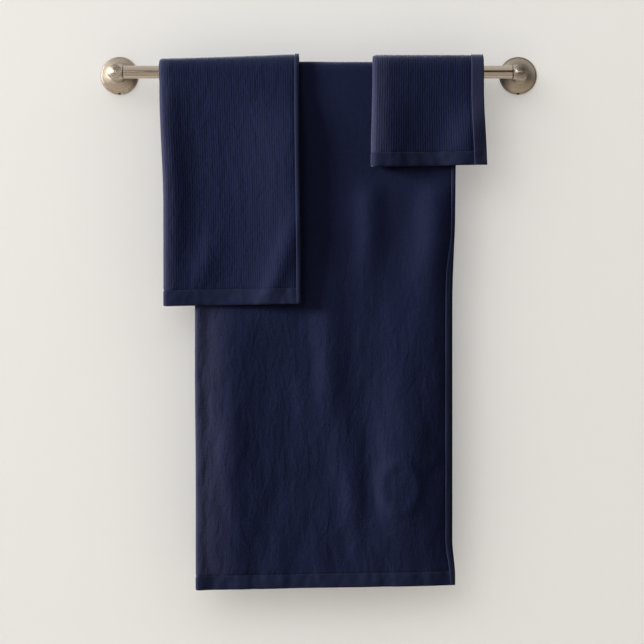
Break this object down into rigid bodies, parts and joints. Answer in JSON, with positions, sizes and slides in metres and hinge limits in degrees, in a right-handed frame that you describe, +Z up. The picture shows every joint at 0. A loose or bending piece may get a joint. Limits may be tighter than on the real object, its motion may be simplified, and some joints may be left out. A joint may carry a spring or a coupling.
{
  "type": "bath towel set on a towel bar",
  "caption": "Matching bath towel, hand towel and washcloth, each folded lengthwise and draped over a round wall-mounted towel bar between two round-flanged posts.",
  "frame": {"origin": "on the wall, midway between the two posts, at the height of the bar's axis", "axes": "+X along the bar to the right as seen from the room, +Y into the wall, +Z up"},
  "size_m": [0.657, 0.1151, 0.7905],
  "materials": {
    "brushed_nickel_bar": "satin",
    "brushed_nickel_post": "satin",
    "zinc_plate": "matte",
    "black_steel": "satin",
    "screw_steel": "satin",
    "navy_velour": "matte",
    "navy_hem": "matte",
    "navy_thread": "matte"
  },
  "bodies": {
    "posts": {"left_post": "brushed_nickel_post", "right_post": "brushed_nickel_post", "left_wall_plate": "zinc_plate", "right_wall_plate": "zinc_plate", "left_set_screw": "black_steel", "right_set_screw": "black_steel", "left_plate_screws": "screw_steel", "right_plate_screws": "screw_steel"},
    "bar": {"towel_bar": "brushed_nickel_bar"},
    "bath_towel": {"bath_towel": "navy_velour", "bath_towel_front_hem": "navy_hem", "bath_towel_back_hem": "navy_hem", "bath_towel_side_hems": "navy_hem"},
    "hand_towel": {"hand_towel": "navy_velour", "hand_towel_front_hem": "navy_hem", "hand_towel_back_hem": "navy_hem", "hand_towel_side_hems": "navy_hem"},
    "washcloth": {"washcloth": "navy_velour", "washcloth_front_hem": "navy_hem", "washcloth_back_hem": "navy_hem", "washcloth_side_hems": "navy_hem"}
  },
  "joints": [
    {"name": "bar_turn", "type": "hinge", "parent": "posts", "child": "bar", "pos_m": [0, -0.064, 0], "axis": [1, 0, 0], "continuous": true},
    {"name": "bath_towel_slide", "type": "slide", "parent": "posts", "child": "bath_towel", "axis": [1, 0, 0], "range_m": [-0.105, 0.083]},
    {"name": "hand_towel_slide", "type": "slide", "parent": "posts", "child": "hand_towel", "axis": [1, 0, 0], "range_m": [-0.055, 0.05]},
    {"name": "washcloth_slide", "type": "slide", "parent": "posts", "child": "washcloth", "axis": [1, 0, 0], "range_m": [-0.05, 0.038]}
  ]
}
